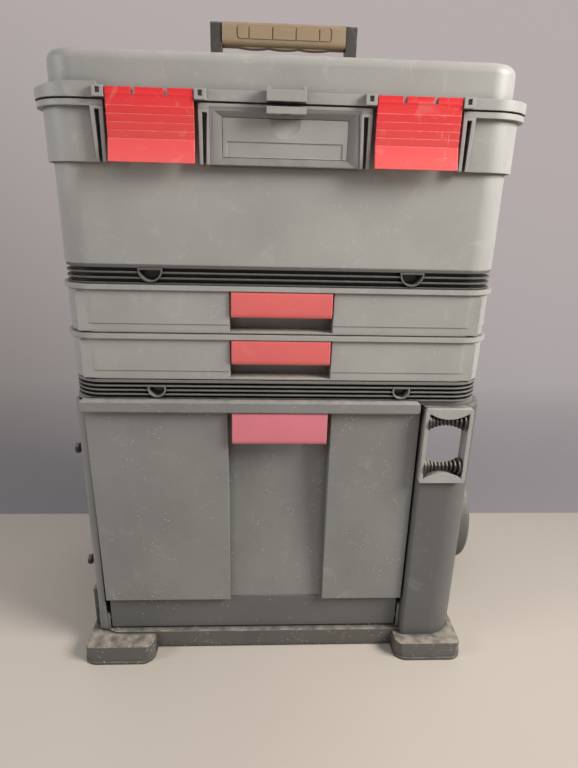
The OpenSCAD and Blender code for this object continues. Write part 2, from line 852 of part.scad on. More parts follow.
// A band of deep grooves between thin ribs, with two sockets, closed at its top
module ribbed_band(z, h, socket_z, r, rise) {
    count = round((h - wall) / rib_pitch);
    pitch = (h - wall) / count;
    difference() {
        union() {
            difference() {
                union() {
                    band_slab(-rib_in, [z, z + h]);
                    for (i = [0 : count - 1])
                        band_slab(rib_out, [z + i * pitch, z + i * pitch + rib_h]);
                    band_slab(rib_out, [z + h - wall, z + h]);
                }
                band_slab(-rib_in - wall, [z - 1, z + h - wall]);
            }
            sockets(socket_z, r + socket_wall, rise + socket_wall, [-2, socket_d + socket_wall]);
        }
        sockets(socket_z, r, rise, [-3, socket_d]);
    }
}

module middle_base() {
    color(band_grey) placed()
        ribbed_band(lower_top, low_band_h, lower_top + low_band_h * 0.54, low_socket_r, low_socket_rise);
}

module middle_top() {
    color(band_grey) placed()
        ribbed_band(top_band_z, top_band_h, top_band_z + top_band_h * 0.75, top_socket_r, 0);
}

module middle_shell() {
    color(mid_grey) placed() difference() {
        ring([-band_x, band_x], [2, body_d], [drawers_z, top_band_z], band_r, casing_t);
        block([-big, big], [-1, shell_front], [0, big]);
    }
}

module drawer_runners() {
    inner = band_x - casing_t;
    color(dark_grey) placed() for (z = [drawers_z, drawers_z + drawer_h], s = [-1, 1]) {
        x = s > 0 ? [tub_x + slide_gap, inner] : [-inner, -tub_x - slide_gap];
        groove = s > 0 ? [x[0] - 1, x[1] - 2] : [x[0] + 2, x[1] + 1];
        difference() {
            block(x, [shell_front + 2, body_d - casing_t - band_r], [z + runner_z, z + runner_z + runner_h]);
            block(groove, [-1, big],
                  [z + runner_z + rail_h - slide_gap, z + runner_z + 2 * rail_h + slide_gap]);
        }
    }
}

// One drawer: a front that wraps round the corners, a tub, side rails and the pull's pocket
module drawer(z) {
    top = z + drawer_h - slide_gap;
    rim = [top - drawer_rim_h, top];
    color(light_grey) placed() difference() {
        union() {
            intersection() {
                union() {
                    ring([-drawer_x + drawer_step, drawer_x - drawer_step], [drawer_step, body_d],
                         [z + 1, z + drawer_step_h], corner_r - 3, 3);
                    ring([-drawer_x, drawer_x], [0, body_d], [z + drawer_step_h, top], corner_r - 2, 3);
                    ring([-drawer_x - drawer_rim_out, drawer_x + drawer_rim_out],
                         [-drawer_rim_out, body_d], rim, corner_r + 1.5, drawer_rim_out + 3);
                }
                block([-big, big], [-10, front_wrap], [0, big]);
            }
            difference() {
                block([-tub_x, tub_x], [drawer_step, drawer_back], [z + 2, z + 50]);
                block([-tub_x + 3, tub_x - 3], [3, drawer_back - 3], [z + 5, big]);
            }
            for (s = [-1, 1]) drawer_rail(z, s);
            block([-pocket_x - 3, pocket_x + 3], [drawer_step, pocket_d + 3], [z + 1, rim[0] + eps]);
        }
        block([-pocket_x, pocket_x], [-1, pocket_d], [z + 3, rim[0]]);
    }
}

module drawer_rail(z, s) {
    inner = band_x - casing_t - 2 - slide_gap;
    x = s > 0 ? [tub_x - 1, inner] : [-inner, -tub_x + 1];
    block(x, [shell_front + 2, drawer_back - 12], [z + runner_z + rail_h, z + runner_z + 2 * rail_h]);
}

module lower_drawer() drawer(drawers_z);

module upper_drawer() drawer(drawers_z + drawer_h);

module drawer_pull(z) {
    top = z + drawer_h - drawer_rim_h - 2 * slide_gap;
    grip_pull([-pull_w / 2, pull_w / 2], [top - pull_h, top], -2, pocket_d - slide_gap);
}

module lower_drawer_pull() drawer_pull(drawers_z);

module upper_drawer_pull() drawer_pull(drawers_z + drawer_h);

// ---- Tool box ----

module top_box() {
    color(light_grey) placed() difference() {
        union() {
            difference() {
                slab([-side_x, side_x], [0, body_d], [box_z, rim_z], corner_r);
                slab([-side_x + wall, side_x - wall], [wall, body_d - wall], [box_z + wall, rim_z + 1],
                     corner_r - wall);
            }
            difference() {
                union() {
                    box_skirt();
                    box_rim();
                }
                slab([-side_x + 1, side_x - 1], [1, body_d - 1], [0, big], corner_r - 1);
                for (s = [-1, 1]) latch_channel(s);
                for (s = [-1, 1], e = [-1, 1]) guard_slot(s, e);
            }
            for (s = [-1, 1], e = [-1, 1]) latch_guard(s, e);
            for (s = [-1, 1]) {
                block([s * latch_x - 37, s * latch_x + 37], [-8, eps], [skirt_z + 16, skirt_z + 22]);
                hinge_knuckles(s * hinge_x, [0, 2], skirt_top - 3, rim_z);
            }
            front_frame();
            block([-hasp_w / 2, hasp_w / 2], [-rim_out - hasp_out, -1], [skirt_top - 7, skirt_top]);
        }
        plate_seat();
        hasp_hole();
        for (s = [-1, 1]) hinge_bore(s * hinge_x);
    }
}

// The skirt hangs from the rim, clear of the wall behind it
module box_skirt() {
    ring([-side_x - skirt_out, side_x + skirt_out], [-skirt_out, body_d + back_rim],
         [skirt_z, skirt_top], corner_r + skirt_out, wall);
}

// The rim under the lid's, with a narrow seam left open along its edge
module box_rim() {
    rim_slab(1, [skirt_top - 3, rim_z - seam]);
    rim_slab(seam_d, [skirt_top - 3, rim_z]);
}

// A slab as wide as the lid's rim, drawn in by t
module rim_slab(t, z) {
    out = rim_out - t;
    slab([-side_x - out, side_x + out], [-out, body_d + back_rim + 1 - t], z, corner_r + out);
}

// The space that a latch closes over
module latch_channel(s) {
    block([s * latch_x - channel_half, s * latch_x + channel_half], [-big, -0.5], [0, rim_z + 1]);
}

// Two ribs beside a latch channel, joined at their top and leaning together at their feet;
// s picks the latch and e the side of its channel
module latch_guard(s, e) {
    z = [skirt_z, skirt_top - 3];
    far = leg_t + leg_slot;
    along_y([-rim_out, eps]) {
        guard_leg(s, e, [0, leg_t], [0.5, leg_t], z);
        guard_leg(s, e, [far, far + leg_t], [far - 2, far + 1], z);
        guard_leg(s, e, [0, far + leg_t], [0, far + leg_t], [z[1] - 3, z[1]]);
    }
}

// One leg in the view from the front, as wide as top above and as foot below
module guard_leg(s, e, top, foot, z) {
    polygon([
        [guard_x(s, e, top[0]), z[1]], [guard_x(s, e, top[1]), z[1]],
        [guard_x(s, e, foot[1]), z[0]], [guard_x(s, e, foot[0]), z[0]]
    ]);
}

function guard_x(s, e, out) = s * (latch_x + e * (channel_half + out));

// The cut through the skirt between the two ribs
module guard_slot(s, e) {
    cut = [leg_t / 2, leg_t + leg_slot + 0.5];
    along_y([-big, -0.5]) guard_leg(s, e, cut, cut, [skirt_z - 1, skirt_top - 5]);
}

// The raised frame, with bevels that slope in to its seat
module front_frame() {
    x = frame_w / 2;
    mouth = x - frame_side;
    inner = mouth - frame_bevel;
    difference() {
        block([-x, x], [-frame_front, eps], [skirt_z, skirt_top - 1]);
        intersection() {
            translate([0, 0, skirt_z]) linear_extrude(skirt_h) polygon([
                [-mouth, -frame_front - eps], [mouth, -frame_front - eps],
                [inner, -plate_front], [-inner, -plate_front]
            ]);
            along_x([-x, x]) polygon([
                [-frame_front - eps, skirt_z + 1], [-plate_front, plate_z[0]],
                [-plate_front, plate_z[1]], [-frame_front - eps, skirt_top - 4]
            ]);
        }
    }
}

// The seat of the front plate, as deep as the plate is thick
module plate_seat() {
    inner = frame_w / 2 - frame_side - frame_bevel;
    block([-inner, inner], [-plate_front - 1, -frame_seat], plate_z);
}

// A bare plate let into the frame, with a round finger dish at its top
module front_plate() {
    x = frame_w / 2 - frame_side - frame_bevel - slide_gap;
    z = [plate_z[0] + slide_gap, plate_z[1] - slide_gap];
    dish_r = (notch_r * notch_r + notch_d * notch_d) / (2 * notch_d);
    color(light_grey) placed() difference() {
        block([-x, x], [-plate_front, -frame_seat], z);
        block([-x + 5, x - 5], [-plate_front - 1, -plate_front + 1], [z[0] + 1, z[0] + 16]);
        translate([0, -plate_front - dish_r + notch_d, z[1] - 3]) sphere(dish_r, $fn = 120);
    }
}

// Knuckles of a hinge around x, on the places in which, joined to a flange between two levels
module hinge_knuckles(x, which, z0, z1) {
    for (i = which) {
        kx = x + (i - 1) * knuckle_w;
        ends = [kx - knuckle_w / 2 + knuckle_gap / 2, kx + knuckle_w / 2 - knuckle_gap / 2];
        rod(ends, hinge_pin, hinge_r);
        block(ends, [body_d, hinge_pin[0]], [z0, z1]);
    }
}

module hinge_bore(x) {
    rod([x - 2 * knuckle_w, x + 2 * knuckle_w], hinge_pin, hinge_pin_r + pin_gap);
}

module hasp_hole() {
    translate([0, -rim_out - hasp_out / 2, skirt_top - 8])
        cylinder(h = body_rim_h + lid_rim_h + 10, r = hasp_hole_r);
}

module lid() {
    w = body_w - 2 * lid_inset;
    color(light_grey) placed() difference() {
        union() {
            difference() {
                union() {
                    translate([0, lid_inset, rim_z])
                        soft_box(w, body_d - 2 * lid_inset, lid_h, corner_r - lid_inset, lid_edge_r);
                    slab([-side_x - rim_out, side_x + rim_out], [-rim_out, body_d + back_rim],
                         [rim_z, rim_z + lid_rim_h], corner_r + rim_out);
                }
                translate([0, lid_inset + lid_t, rim_z - 1])
                    soft_box(w - 2 * lid_t, body_d - 2 * lid_inset - 2 * lid_t, lid_h - lid_t + 1,
                             corner_r - lid_inset - lid_t, lid_edge_r - lid_t);
            }
            carry_well(lid_t);
            for (s = [-1, 1]) hinge_knuckles(s * hinge_x, [1], rim_z, rim_z + 7);
            block([-hasp_w / 2, hasp_w / 2], [-rim_out - hasp_out, 0], [rim_z, rim_z + lid_rim_h]);
            for (s = [-1, 1]) block(s > 0 ? [hasp_w / 2 - 4, hasp_w / 2] : [-hasp_w / 2, -hasp_w / 2 + 4],
                                    [-rim_out - hasp_out, 0], [rim_z, rim_z + lid_rim_h + 3]);
            rim_bar();
            for (s = [-1, 1], e = [-1, 1]) latch_lug(s * latch_x + e * (latch_w / 2 + latch_gap + lug_w / 2));
        }
        carry_well(0);
        hasp_hole();
        for (s = [-1, 1]) {
            latch_recess(s * latch_x);
            rod([s * latch_x - latch_pin_half - 0.5, s * latch_x + latch_pin_half + 0.5], latch_pin,
                latch_pin_r + pin_gap);
            hinge_bore(s * hinge_x);
        }
        rod([-carry_pocket_w / 2 - 8, carry_pocket_w / 2 + 8], carry_pin, carry_pin_r + pin_gap);
    }
}

// A raised bar along the left front corner of the rim, pointed at its left end
module rim_bar() {
    z = rim_z + lid_rim_h;
    end = -latch_x - channel_half - 6;
    intersection() {
        ring([-side_x - rim_out, side_x + rim_out], [-rim_out, body_d], [z - 10, z + 4],
             corner_r + rim_out, 6);
        along_y([-rim_out - 1, 20]) polygon([
            [end, z - 10], [end, z + 4], [end - 40, z + 4], [-side_x - rim_out, z - 3],
            [-side_x - rim_out, z - 10]
        ]);
    }
}

// The well for the carry handle, thicker by t on its walls and floor
module carry_well(t) {
    slab([-carry_pocket_w / 2 - t, carry_pocket_w / 2 + t],
         [carry_mid_y - carry_pocket_d / 2 - t, carry_mid_y + carry_pocket_d / 2 + t],
         [lid_top - carry_pocket_h - t, lid_top + (t > 0 ? -eps : 1)], 3 + t);
}

// A lug that holds one end of a latch's pin, with a square slot in its front
module latch_lug(x) {
    difference() {
        block([x - lug_w / 2, x + lug_w / 2], [-rim_out - 6, 0], [rim_z, rim_z + lid_rim_h]);
        block([x - lug_slot / 2, x + lug_slot / 2], [-rim_out - 7, -rim_out - 3],
              [rim_z + 3.5, rim_z + 9]);
    }
}

// The cut in the lid's rim that the latch's knuckle turns in
module latch_recess(x) {
    half = latch_w / 2 + latch_gap;
    block([x - half, x + half], [-big, -5], [rim_z - 1, rim_z + lid_rim_h + 1]);
}

module hinge_pins() {
    color(steel) placed() for (s = [-1, 1])
        rod([s * hinge_x - 1.5 * knuckle_w + 1, s * hinge_x + 1.5 * knuckle_w - 1], hinge_pin, hinge_pin_r);
}

// A latch plate on a knuckle: flat above, with four saw-tooth steps, and flared at its foot
module latch(x) {
    face = latch_pin[0] - 5;
    half = latch_w / 2;
    foot_z = latch_steps_top - latch_steps * latch_step;
    color(red) placed() difference() {
        union() {
            along_x([x - half, x + half]) polygon(concat(
                [[face, latch_top]],
                [for (i = [0 : latch_steps]) each [
                    [face + 1.2, latch_steps_top - i * latch_step],
                    [face - 0.2, latch_steps_top - i * latch_step - 0.8]
                ]],
                [[face - 2, foot_z - 9], [face - 6, skirt_z], [face - 2, skirt_z],
                 [face + 4.5, foot_z], [face + 4.5, latch_top]]
            ));
            rod([x - half, x + half], latch_pin, 5);
            block([x - 30, x + 30], [face + 1, -9], [skirt_z + 17, skirt_z + 21]);
        }
        rod([x - latch_w, x + latch_w], latch_pin, latch_pin_r + pin_gap);
        for (s = [-1, 1]) block([x + s * notch_x - notch_w / 2, x + s * notch_x + notch_w / 2],
                                [-big, big], [latch_pin[1] - 1, big]);
    }
}

module left_latch() latch(-latch_x);

module right_latch() latch(latch_x);

module latch_pins() {
    color(steel) placed() for (s = [-1, 1])
        rod([s * latch_x - latch_pin_half, s * latch_x + latch_pin_half], latch_pin, latch_pin_r);
}

// The folding carry handle, lying in its well
module carry_handle() {
    half = carry_pocket_w / 2 - 1.5;
    y = [carry_pin[0] - carry_reach, carry_pin[0]];
    z = [carry_pin[1] - carry_bar / 2, carry_pin[1] + carry_bar / 2];
    color(black) placed() difference() {
        union() {
            for (s = [-1, 1]) {
                x = s > 0 ? [half - carry_arm, half] : [-half, -half + carry_arm];
                block(x, [y[0], y[1]], z);
                rod(x, carry_pin, carry_bar / 2);
            }
            rod([-half, half], [y[0], carry_pin[1]], carry_bar / 2);
        }
        rod([-half - 1, half + 1], carry_pin, carry_pin_r + pin_gap);
    }
}

module carry_handle_pins() {
    color(steel) placed() for (s = [-1, 1]) {
        x = s > 0 ? [carry_pocket_w / 2 - 10, carry_pocket_w / 2 + 7]
                  : [-carry_pocket_w / 2 - 7, -carry_pocket_w / 2 + 10];
        rod(x, carry_pin, carry_pin_r);
    }
}

base_tray();
lower_housing();
tool_post();
roller_frame();
roller_pins();
upper_roller();
lower_roller();
cord_pegs();
bin_tub();
bin_pull();
bin_pivot_pins();
axle_beam();
axle();
axle_caps();
left_hub();
right_hub();
left_tyre();
right_tyre();
tube_clamps();
clamp_screws();
outer_tubes();
tube_collars();
handle_tubes();
handle_ends();
grip_bar();
grip_sleeve();
middle_base();
middle_shell();
middle_top();
drawer_runners();
lower_drawer();
upper_drawer();
lower_drawer_pull();
upper_drawer_pull();
top_box();
front_plate();
lid();
hinge_pins();
left_latch();
right_latch();
latch_pins();
carry_handle();
carry_handle_pins();
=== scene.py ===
"""The portable tool box with drawers: soft edges, materials, studio, light and camera."""
import json
import math

import bmesh
import bpy
from mathutils import Matrix, Vector

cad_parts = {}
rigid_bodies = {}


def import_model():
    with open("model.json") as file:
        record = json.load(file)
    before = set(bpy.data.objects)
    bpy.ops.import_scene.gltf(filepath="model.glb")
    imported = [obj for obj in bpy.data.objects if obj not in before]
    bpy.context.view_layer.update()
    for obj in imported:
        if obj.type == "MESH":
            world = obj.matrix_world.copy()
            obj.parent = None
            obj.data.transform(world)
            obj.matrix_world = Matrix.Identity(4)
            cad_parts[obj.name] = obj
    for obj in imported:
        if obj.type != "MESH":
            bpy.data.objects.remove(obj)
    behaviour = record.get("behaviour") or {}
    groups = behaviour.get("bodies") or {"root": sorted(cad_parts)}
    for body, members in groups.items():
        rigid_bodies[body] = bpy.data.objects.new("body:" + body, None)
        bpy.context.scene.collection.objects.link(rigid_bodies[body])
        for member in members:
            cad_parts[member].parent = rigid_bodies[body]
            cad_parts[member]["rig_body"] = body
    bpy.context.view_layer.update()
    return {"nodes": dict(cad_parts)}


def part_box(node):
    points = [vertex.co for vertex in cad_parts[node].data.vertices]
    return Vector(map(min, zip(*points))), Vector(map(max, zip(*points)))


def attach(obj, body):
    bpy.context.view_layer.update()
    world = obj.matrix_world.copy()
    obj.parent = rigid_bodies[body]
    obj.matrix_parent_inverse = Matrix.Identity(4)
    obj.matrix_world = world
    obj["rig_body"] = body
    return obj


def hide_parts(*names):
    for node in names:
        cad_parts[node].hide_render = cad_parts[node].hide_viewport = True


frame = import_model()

MM = 0.001


# ---- Colours ----

def rgb(*levels):
    """A colour given as it looks on a screen, 0 to 255, as linear light."""
    def linear(c):
        return c / 12.92 if c <= 0.04045 else ((c + 0.055) / 1.055) ** 2.4
    return tuple(linear(level / 255) for level in levels) + (1.0,)


def scaled(colour, by):
    """A linear colour made darker or lighter."""
    return tuple(min(1.0, c * by) for c in colour[:3]) + (1.0,)


# ---- Node trees ----

# samples for each look round a point: into the open air, and along a rounded edge
AIR_SAMPLES = 8
EDGE_SAMPLES = 4
# cosine between true and rounded normal where an edge starts to count, and where it counts in full
TURN_STARTS = 0.98
TURN_FULL = 0.82


class Graph:
    """Short ways to add nodes to a node tree."""

    def __init__(self, tree):
        self.tree = tree

    def add(self, kind, settings=None, **inputs):
        node = self.tree.nodes.new(kind)
        for key, value in (settings or {}).items():
            setattr(node, key, value)
        for key, value in inputs.items():
            self.put(node.inputs[key.replace("_", " ")], value)
        return node

    def put(self, socket, value):
        """Give a socket a fixed value, or link another node's output to it."""
        if isinstance(value, bpy.types.NodeSocket):
            self.tree.links.new(value, socket)
        else:
            socket.default_value = value

    def math(self, operation, a, b=0.0):
        node = self.add("ShaderNodeMath", {"operation": operation})
        self.put(node.inputs[0], a)
        self.put(node.inputs[1], b)
        return node.outputs[0]

    def times(self, a, b):
        return self.math("MULTIPLY", a, b)

    def vector_math(self, operation, a, b):
        node = self.add("ShaderNodeVectorMath", {"operation": operation})
        self.put(node.inputs[0], a)
        self.put(node.inputs[1], b)
        return node

    def ramp(self, value, low, high, bottom=0.0, top=1.0):
        """bottom where the value is low, top where it is high, and a straight line between."""
        node = self.add("ShaderNodeMapRange", Value=value, From_Min=low, From_Max=high,
                        To_Min=bottom, To_Max=top)
        return node.outputs["Result"]

    def mix(self, factor, a, b):
        node = self.add("ShaderNodeMix", {"data_type": "RGBA"})
        self.put(node.inputs["Factor"], factor)
        self.put(node.inputs["A"], a)
        self.put(node.inputs["B"], b)
        return node.outputs["Result"]

    def mix_shaders(self, factor, a, b):
        node = self.add("ShaderNodeMixShader")
        for socket, value in zip(node.inputs, (factor, a, b)):
            self.put(socket, value)
        return node.outputs[0]

    def parts(self, vector):
        """The X, Y and Z of a vector."""
        split = self.add("ShaderNodeSeparateXYZ", Vector=vector).outputs
        return split["X"], split["Y"], split["Z"]

    def camera_sees(self, usual, seen):
        """One shader for what lights the part, another for the camera and what metal mirrors."""
        path = self.add("ShaderNodeLightPath").outputs
        looks = self.math("MAXIMUM", path["Is Camera Ray"], path["Is Glossy Ray"])
        looks = self.math("MAXIMUM", looks, path["Is Transmission Ray"])
        return self.mix_shaders(looks, usual, seen)


class Surface(Graph):
    """A node material."""

    def __init__(self, name):
        self.material = bpy.data.materials.new(name)
        self.material.use_nodes = True
        super().__init__(self.material.node_tree)
        self.shader = self.tree.nodes["Principled BSDF"]
        self.place = self.add("ShaderNodeTexCoord").outputs["Object"]

    def noise(self, size, detail, stretch=(1, 1, 1), turn=(0, 0, 0), twist=0.0):
        """Noise with features about size millimetres across."""
        at = self.add("ShaderNodeMapping", Vector=self.place, Scale=stretch, Rotation=turn)
        node = self.add("ShaderNodeTexNoise", Vector=at.outputs[0], Scale=1000.0 / size,
                        Detail=detail, Distortion=twist)
        return node.outputs["Fac"]

    def inside(self, low, high):
        """1 between two corners of a box, 0 outside it."""
        mask = 1.0
        for at, a, b in zip(self.parts(self.place), low, high):
            between = self.times(self.math("GREATER_THAN", at, a), self.math("LESS_THAN", at, b))
            mask = self.times(between, mask)
        return mask

    def open_air(self, reach):
        """1 where a point stands free, 0 where it is hemmed in closer than reach millimetres."""
        look = self.add("ShaderNodeAmbientOcclusion", {"samples": AIR_SAMPLES}, Distance=reach * MM)
        return look.outputs["AO"]

    def rounded(self, radius):
        """The normal with edges rounded to radius millimetres, and how far it turns, 0 to 1."""
        soft = self.add("ShaderNodeBevel", {"samples": EDGE_SAMPLES}, Radius=radius * MM).outputs[0]
        true = self.add("ShaderNodeNewGeometry").outputs["Normal"]
        along = self.vector_math("DOT_PRODUCT", soft, true).outputs["Value"]
        return soft, self.ramp(along, TURN_STARTS, TURN_FULL)

    def bump(self, height, depth, normal):
        """Relief of a height from 0 to 1, depth in millimetres, on top of a normal."""
        node = self.add("ShaderNodeBump", Height=height, Distance=depth * MM, Normal=normal)
        self.put(self.shader.inputs["Normal"], node.outputs[0])


# ---- Plastic and metal ----

DUST = rgb(205, 190, 168)
SPECK = rgb(226, 214, 196)
# the colour of wear, also used for the painted highlight on free edges
WEAR_AND_EDGE_LIGHT = rgb(214, 212, 206)

# how far edges look rounded, in millimetres
PLASTIC_ROUND = 1.1
METAL_ROUND = 0.4

# sizes of the marks on moulded plastic, in millimetres
CLOUD = 90
FLECK = 7
RUBBED_PATCH = 26
SCRATCH = 16
CROSS_SCRATCH = 20
SCRATCHED_AREA = 55
DUST_PATCH = 12
SPECK_SPACING = 4.5
SPECKED_AREA = 24
TEXTURE = 0.7
WAVE = 30

# how strongly the marks show, 0 to 1
PATCH_SHOWS = 0.22
SCRATCH_SHOWS = 0.8
# free edges lightened as wear and as a painted highlight
WORN_AND_LIT_EDGE_SHOWS = 0.35
# painted shade below a height
FOOT_SHADE_SHOWS = 0.62
# painted shade inside a box
SHADED_SHOWS = 0.58

PLASTIC_SHEEN = 0.42
ROUGHEST = 0.95

# steel: sizes of its dull spots and turning marks, and depth of the marks, in millimetres
DULL_SPOT = 9
TURNING_MARK = 2
MARK_DEPTH = 0.02
STEEL_BRIGHT, STEEL_DULL = 0.35, 0.55


def scuffed(s, scuffs):
    """How much a surface is rubbed in patches and crossed by fine scratches, 0 to 1."""
    patch = s.ramp(s.noise(RUBBED_PATCH, 6.0, twist=1.5), 0.60, 0.76)
    scratch = s.ramp(s.noise(SCRATCH, 2.0, (1, 1, 26), (0.3, 0.5, 0.4)), 0.695, 0.735)
    cross = s.ramp(s.noise(CROSS_SCRATCH, 2.0, (22, 1, 1), (0.1, 0.9, 0.2)), 0.705, 0.745)
    where = s.ramp(s.noise(SCRATCHED_AREA, 2.0), 0.48, 0.62)
    marks = s.times(s.math("MAXIMUM", scratch, cross), where)
    return s.math("ADD", s.times(patch, PATCH_SHOWS * scuffs),
                  s.times(marks, SCRATCH_SHOWS * scuffs))


def settled(s, open_air):
    """How much dust lies on what faces up in the open, 0 to 1; hollows get none, so they keep their
    painted shade.
    """
    upward = s.parts(s.add("ShaderNodeNewGeometry").outputs["True Normal"])[2]
    lying = s.times(s.ramp(upward, 0.35, 0.9), s.ramp(s.noise(DUST_PATCH, 5.0), 0.30, 0.62))
    return s.times(lying, s.ramp(open_air, 0.35, 0.8))


def specked(s, specks):
    """1 on scattered specks of dirt, 0 between them."""
    spots = s.add("ShaderNodeTexVoronoi", Vector=s.place, Scale=1000 / SPECK_SPACING)
    spot = s.math("LESS_THAN", spots.outputs["Distance"], 0.13)
    chosen = s.math("GREATER_THAN", s.noise(SPECKED_AREA, 3.0), 0.62 - 0.1 * specks)
    return s.times(spot, chosen)


def moulded(name, colour, rough, scuffs, mottle=0.10, dust=0.4, grain=0.05, specks=0.0,
            deep=0.3, reach=16, corner_shade=(0.2, 0.75), foot_shade=None, lower_tint=None, shaded=None):
    """Moulded plastic that has been used: mottled, scuffed, dusty on top, with painted shade in its
    corners and a painted highlight on free edges.

    deep is how dark the painted shade gets in corners and grooves, reach how far from a corner the
    painted shade goes, in millimetres, and corner_shade how open a point still is where the painted
    shade is thickest, and how thick it is there. foot_shade is a height with painted shade below
    it, lower_tint two heights and the colour at the second, and shaded two corners of a box with
    painted shade inside.
    """
    s = Surface(name)
    dark = scaled(colour, deep)
    height = s.parts(s.place)[2]
    # the plastic itself: broad and fine variation of one colour
    broad = s.ramp(s.noise(CLOUD, 4.0), 0.3, 0.7)
    fine = s.ramp(s.noise(FLECK, 5.0), 0.3, 0.7)
    body = s.mix(broad, scaled(colour, 1 - mottle), scaled(colour, 1 + mottle))
    body = s.mix(s.times(fine, 0.35), body, colour)
    if lower_tint:
        full, tinted_at, tint = lower_tint
        body = s.mix(s.ramp(height, full, tinted_at), body, tint)
    # rubbed patches and scratches, and free edges lightened, partly as edge wear and partly as a
    # painted highlight
    wear = scuffed(s, scuffs)
    body = s.mix(s.math("MINIMUM", wear, 1.0), body, WEAR_AND_EDGE_LIGHT)
    open_air = s.open_air(reach)
    soft, turned = s.rounded(PLASTIC_ROUND)
    rubbed = s.times(s.times(turned, fine), s.ramp(open_air, 0.75, 0.95))
    body = s.mix(s.times(rubbed, WORN_AND_LIT_EDGE_SHOWS), body, scaled(WEAR_AND_EDGE_LIGHT, 0.85))
    # painted shade where surfaces meet and in what lies deep
    body = s.mix(s.ramp(open_air, corner_shade[0], 0.9, corner_shade[1], 0.0), body, dark)
    # painted shade on what lies below a height, such as the strip at the bin's foot
    if foot_shade:
        low = s.ramp(height, foot_shade + 1 * MM, foot_shade - 1 * MM, 0.0, FOOT_SHADE_SHOWS)
        body = s.mix(low, body, dark)
    # painted shade inside a box, such as the frame round the front plate
    if shaded:
        body = s.mix(s.times(s.inside(*shaded), SHADED_SHOWS), body, dark)
    lying = settled(s, open_air)
    body = s.mix(s.times(lying, dust), body, DUST)
    if specks:
        body = s.mix(specked(s, specks), body, SPECK)
    s.put(s.shader.inputs["Base Color"], body)
    dull = s.ramp(s.math("ADD", wear, lying), 0.0, 1.2, rough, min(ROUGHEST, rough + 0.3))
    s.put(s.shader.inputs["Roughness"], dull)
    s.shader.inputs["Specular IOR Level"].default_value = PLASTIC_SHEEN
    relief = s.math("ADD", s.noise(TEXTURE, 2.0), s.times(s.noise(WAVE, 2.0), 3.0))
    s.bump(relief, grain, soft)
    return s.material


def metal(name, colour):
    """Plated steel with fine turning marks and dull spots."""
    s = Surface(name)
    spot = s.ramp(s.noise(DULL_SPOT, 5.0), 0.42, 0.68)
    s.put(s.shader.inputs["Base Color"], s.mix(spot, colour, scaled(colour, 0.72)))
    s.shader.inputs["Metallic"].default_value = 1.0
    s.put(s.shader.inputs["Roughness"], s.ramp(spot, 0.0, 1.0, STEEL_BRIGHT, STEEL_DULL))
    s.bump(s.noise(TURNING_MARK, 2.0, (1, 1, 12)), MARK_DEPTH, s.rounded(METAL_ROUND)[0])
    return s.material


# top of the strip along the bin's foot
STRIP_TOP = 88 * MM
# the latches are paler and pinker towards their lower ends
latch_low, latch_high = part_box("left_latch")
LATCH_LOWER_TINT = (latch_high.z, latch_low.z, rgb(238, 98, 96))
# the frame round the front plate stands this far beyond it
plate_low, plate_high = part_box("front_plate")
FRAME_EDGE = Vector((14, 12, 10)) * MM
# the box inside which the top box gets painted shade round the plate
PLATE_FRAME = (plate_low - FRAME_EDGE, plate_high + FRAME_EDGE)

# what several plastics share
LIGHT = {"colour": rgb(160, 159, 154), "rough": 0.42, "scuffs": 0.8}
MID = {"colour": rgb(130, 130, 127), "rough": 0.46}
# the bands get near-black painted shade in their grooves and sockets
BAND = {"rough": 0.45, "scuffs": 0.2, "dust": 0.3, "reach": 6, "deep": 0.04, "corner_shade": (0.42, 1.0)}
PULL = {"rough": 0.42, "dust": 0.3, "mottle": 0.06}

# the material of each slot
MATERIALS = {
    "body_light": moulded("plastic_light", **LIGHT, dust=0.32),
    "body_mid": moulded("plastic_mid", **MID, scuffs=0.35),
    "body_dark": moulded("plastic_dark", rgb(93, 91, 87), 0.55, scuffs=0.3, dust=0.42, specks=1.0),
    "post": moulded("plastic_post", rgb(95, 95, 93), 0.5, scuffs=0.3),
    "band": moulded("plastic_band", rgb(118, 117, 113), **BAND),
    "red": moulded("plastic_red", rgb(234, 52, 56), 0.36, scuffs=0.7, dust=0.35, mottle=0.08,
                   deep=0.15, reach=6, lower_tint=LATCH_LOWER_TINT),
    "pull_red": moulded("plastic_pull", rgb(222, 106, 104), **PULL, scuffs=0.35),
    "bin_pull_red": moulded("plastic_bin_pull", rgb(216, 122, 134), **PULL, scuffs=0.4),
    "steel": metal("zinc_steel", rgb(200, 200, 204)),
    "tube": moulded("painted_tube", rgb(66, 64, 60), 0.4, scuffs=0.4, dust=0.3),
    "grip": moulded("grip_rubber", rgb(146, 125, 99), 0.7, scuffs=0.2, dust=0.2, grain=0.12),
    "tread": moulded("wheel_plastic", rgb(96, 94, 90), 0.6, scuffs=0.3, grain=0.1),
    "roller": moulded("dark_nylon", rgb(52, 50, 48), 0.45, scuffs=0.3, dust=0.6, reach=3.5,
                      deep=0.1),
}

# pieces that differ from their slot: the plate is a touch darker and the frame round it gets
# painted shade, the drawers hold more dust on their rims, the band over them is darker, and the
# strip at the bin's foot gets painted shade
DRAWER = moulded("plastic_drawer", **LIGHT, dust=0.45)
FINISH = {
    "lower_drawer": DRAWER,
    "upper_drawer": DRAWER,
    "top_box": moulded("plastic_box", **LIGHT, dust=0.32, shaded=PLATE_FRAME),
    "middle_top": moulded("plastic_upper_band", rgb(92, 91, 88), **BAND),
    "front_plate": moulded("plastic_plate", rgb(158, 157, 152), 0.4, scuffs=0.6),
    "bin_tub": moulded("plastic_bin", **MID, scuffs=0.4, specks=0.2, foot_shade=STRIP_TOP),
}

# each node's slot is the name that its material came with
SLOTS = {n: o.data.materials[0].name.split(".")[0] for n, o in frame["nodes"].items()}
for n, o in frame["nodes"].items():
    o.data.materials[0] = MATERIALS[SLOTS[n]]


# ---- Soft edges ----

